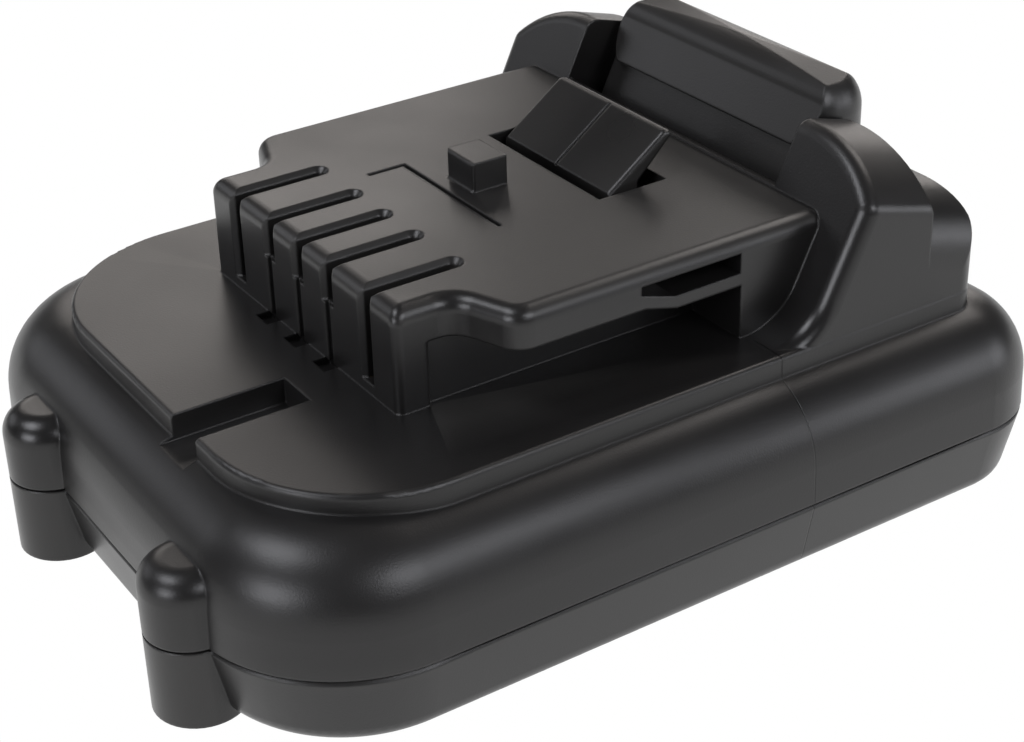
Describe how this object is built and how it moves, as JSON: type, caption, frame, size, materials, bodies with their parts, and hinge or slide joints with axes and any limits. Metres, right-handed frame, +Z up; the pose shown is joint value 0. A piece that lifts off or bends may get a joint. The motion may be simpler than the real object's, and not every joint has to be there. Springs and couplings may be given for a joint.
{
  "type": "power tool battery pack",
  "caption": "Slide-on battery pack for a cordless tool, with a railed terminal tower, blade slots and a sprung push-button latch.",
  "frame": {"origin": "middle of the underside, below the middle of the box round the whole pack", "axes": "+Z up from the flat underside to the rails, +Y along the pack from the screw posts and blade slots (front) to the release button (rear), +X to the side that holds the off-centre notch"},
  "size_m": [0.0712, 0.0944, 0.041],
  "materials": {
    "case": "finely textured charcoal moulded plastic",
    "latch": "finely textured charcoal moulded plastic",
    "spring": "drawn spring wire",
    "cell_wrap": "heat-shrunk sleeve",
    "cell_cap": "nickel-plated steel",
    "cell_ring": "pressed fibre paper",
    "holder": "smooth moulded plastic",
    "strip": "bright nickel",
    "board": "green solder mask over glass fibre",
    "terminal_block": "moulded plastic",
    "contact": "plated spring bronze",
    "chip": "moulded epoxy",
    "fuse": "ceramic body",
    "resistor": "glazed ceramic",
    "sensor": "epoxy bead on tinned leads",
    "screw": "black zinc plate"
  },
  "bodies": {
    "housing": {"board_fuse": "fuse", "board_resistors": "resistor", "board_tray": "holder", "cell_1": "cell_wrap", "cell_2": "cell_wrap", "cell_3": "cell_wrap", "cell_cap_1": "cell_cap", "cell_cap_2": "cell_cap", "cell_cap_3": "cell_cap", "cell_ring_1": "cell_ring", "cell_ring_2": "cell_ring", "cell_ring_3": "cell_ring", "circuit_board": "board", "contact_clip_1": "contact", "contact_clip_2": "contact", "contact_clip_3": "contact", "contact_clip_4": "contact", "contact_clip_5": "contact", "controller_chip": "chip", "front_cell_holder": "holder", "housing_screws": "screw", "latch_spring_left": "spring", "latch_spring_right": "spring", "lower_shell": "case", "power_switch_left": "chip", "power_switch_right": "chip", "rear_cell_holder": "holder", "strip_link_front": "strip", "strip_link_rear": "strip", "strip_negative": "strip", "strip_positive": "strip", "terminal_block": "terminal_block", "thermistor": "sensor", "upper_shell": "case"},
    "latch": {"release_latch": "latch"}
  },
  "joints": [
    {"name": "latch_press", "type": "slide", "parent": "housing", "child": "latch", "axis": [0, -0.4384, -0.8988], "range_m": [0, 0.005], "stiffness_N_per_m": 900, "springref_m": -0.002, "deforming": ["latch_spring_left", "latch_spring_right"]}
  ]
}
